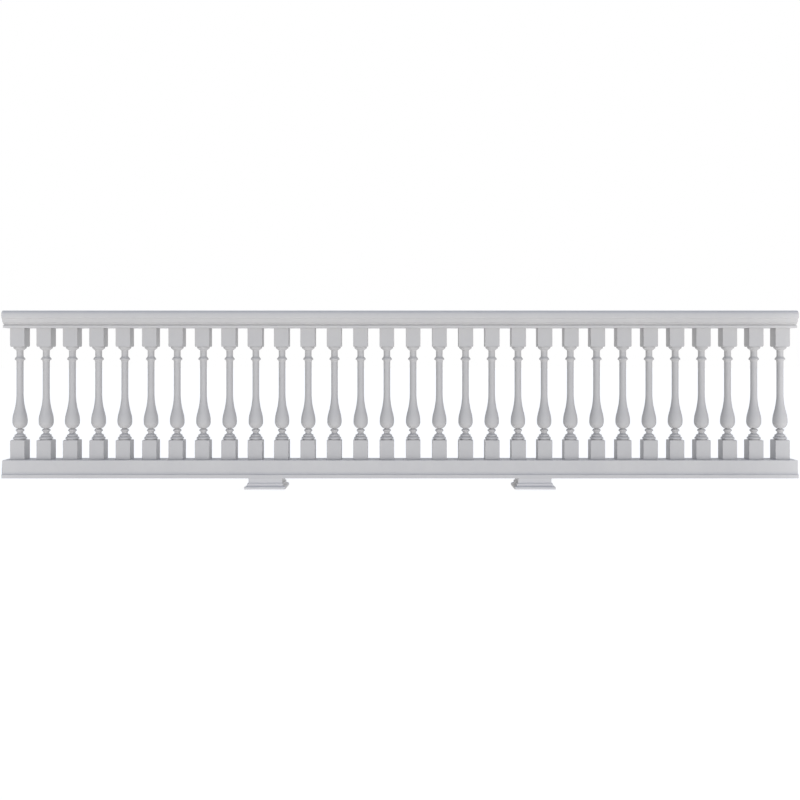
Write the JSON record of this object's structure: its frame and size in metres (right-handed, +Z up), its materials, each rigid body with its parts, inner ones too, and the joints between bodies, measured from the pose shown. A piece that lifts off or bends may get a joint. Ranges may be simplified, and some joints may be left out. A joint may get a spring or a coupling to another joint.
{
  "type": "polyurethane balustrade",
  "caption": "Straight balustrade with a moulded top rail, a moulded bottom rail, a row of turned balusters with square ends, and moulded support blocks underneath.",
  "frame": {"origin": "on the ground under the middle of the run, midway between the two support blocks and midway between front and back", "axes": "+X along the rails, -Y towards the front, +Z up"},
  "size_m": [3.6576, 0.164, 0.8195],
  "materials": {
    "moulded_rail": "rigid moulded polyurethane, factory primed, matt pale grey",
    "moulded_baluster": "rigid moulded polyurethane, factory primed, matt pale grey",
    "moulded_support": "rigid moulded polyurethane, factory primed, matt pale grey"
  },
  "bodies": {
    "root": {"bottom_rail": "moulded_rail", "top_rail": "moulded_rail", "support_block_left": "moulded_support", "support_block_right": "moulded_support", "baluster_01": "moulded_baluster", "baluster_02": "moulded_baluster", "baluster_03": "moulded_baluster", "baluster_04": "moulded_baluster", "baluster_05": "moulded_baluster", "baluster_06": "moulded_baluster", "baluster_07": "moulded_baluster", "baluster_08": "moulded_baluster", "baluster_09": "moulded_baluster", "baluster_10": "moulded_baluster", "baluster_11": "moulded_baluster", "baluster_12": "moulded_baluster", "baluster_13": "moulded_baluster", "baluster_14": "moulded_baluster", "baluster_15": "moulded_baluster", "baluster_16": "moulded_baluster", "baluster_17": "moulded_baluster", "baluster_18": "moulded_baluster", "baluster_19": "moulded_baluster", "baluster_20": "moulded_baluster", "baluster_21": "moulded_baluster", "baluster_22": "moulded_baluster", "baluster_23": "moulded_baluster", "baluster_24": "moulded_baluster", "baluster_25": "moulded_baluster", "baluster_26": "moulded_baluster", "baluster_27": "moulded_baluster", "baluster_28": "moulded_baluster", "baluster_29": "moulded_baluster", "baluster_30": "moulded_baluster"}
  },
  "joints": []
}
